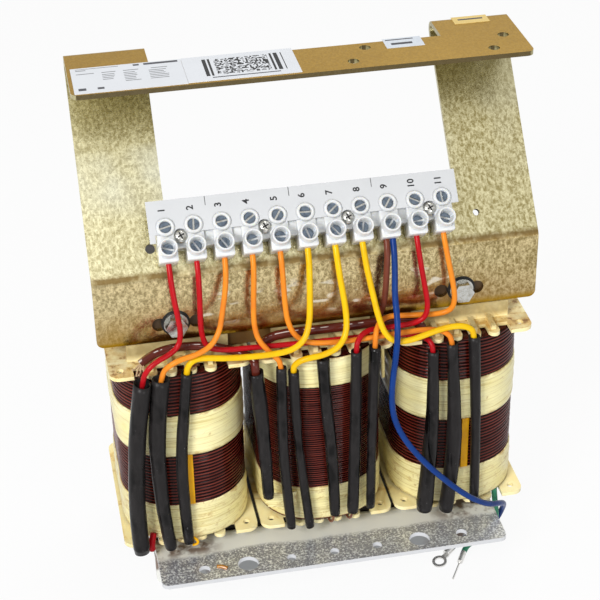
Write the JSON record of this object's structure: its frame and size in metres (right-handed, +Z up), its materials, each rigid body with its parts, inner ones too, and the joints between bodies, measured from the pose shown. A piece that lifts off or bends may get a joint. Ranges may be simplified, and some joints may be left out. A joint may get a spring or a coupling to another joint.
{
  "type": "electrical transformer",
  "caption": "Open laminated-core transformer with sleeved coil leads, slotted angle feet and a folded bracket that carries a screw terminal strip.",
  "frame": {"origin": "on the floor under the middle of the core, midway between the two feet", "axes": "+X along the row of coils, +Y from the terminal side to the back, +Z up"},
  "size_m": [0.185, 0.1166, 0.2325],
  "materials": {
    "core_steel": "dark lacquered lamination edges",
    "former_nylon": "ivory moulded nylon with amber varnish stains",
    "winding_wire": "maroon enamelled wire in glossy varnish",
    "band_tape": "pale yellow tape under varnish",
    "amber_strip": "amber varnished insulating strip",
    "gold_zinc": "olive-gold passivated zinc with fine mottling",
    "blue_zinc": "blue-grey zinc with dark speckles",
    "fastener_zinc": "zinc-plated steel",
    "bush_black": "black insulating plastic",
    "terminal_nylon": "off-white translucent moulding",
    "card_white": "white printed card",
    "clamp_nickel": "nickel-plated",
    "lead_red": "red insulation",
    "lead_orange": "orange insulation",
    "lead_yellow": "yellow insulation",
    "lead_brown": "brown insulation",
    "lead_blue": "blue insulation",
    "lead_green": "green insulation",
    "cable_brown": "brown glossy sleeve",
    "sleeve_black": "black heat-shrink sleeve",
    "label_white": "white paper label",
    "label_yellow": "yellow paper label",
    "lug_tin": "tinned copper"
  },
  "bodies": {
    "root": {"laminated_core": "core_steel", "bobbin_left": "former_nylon", "bobbin_middle": "former_nylon", "bobbin_right": "former_nylon", "winding_left": "winding_wire", "winding_middle": "winding_wire", "winding_right": "winding_wire", "tape_left_upper": "band_tape", "tape_left_lower": "band_tape", "tape_middle_upper": "band_tape", "tape_middle_lower": "band_tape", "tape_right_upper": "band_tape", "tape_right_lower": "band_tape", "lead_strip_left": "amber_strip", "lead_strip_right": "amber_strip", "mounting_bracket": "gold_zinc", "front_foot": "blue_zinc", "rear_foot": "blue_zinc", "upper_bolts": "fastener_zinc", "lower_bolts": "fastener_zinc", "bolt_washers": "fastener_zinc", "bolt_nuts": "fastener_zinc", "strip_screws": "fastener_zinc", "strip_nuts": "fastener_zinc", "insulating_bushes": "bush_black", "terminal_housing": "terminal_nylon", "marker_card": "card_white", "terminal_clamps": "clamp_nickel", "upper_clamp_screws": "clamp_nickel", "lower_clamp_screws": "clamp_nickel", "lead_1_red": "lead_red", "lead_2_red": "lead_red", "lead_10_red": "lead_red", "lead_3_orange": "lead_orange", "lead_4_orange": "lead_orange", "lead_5_orange": "lead_orange", "lead_11_orange": "lead_orange", "lead_6_yellow": "lead_yellow", "lead_7_yellow": "lead_yellow", "lead_8_yellow": "lead_yellow", "lead_9_brown": "lead_brown", "lead_9_blue": "lead_blue", "pin_lead": "lead_green", "cable_left": "cable_brown", "cable_right": "cable_brown", "sleeves_left": "sleeve_black", "sleeves_middle": "sleeve_black", "sleeves_right": "sleeve_black", "label_large": "label_white", "label_code": "label_white", "label_small": "label_white", "label_yellow": "label_yellow", "ring_lug": "lug_tin", "crimp_pin": "lug_tin"}
  },
  "joints": []
}
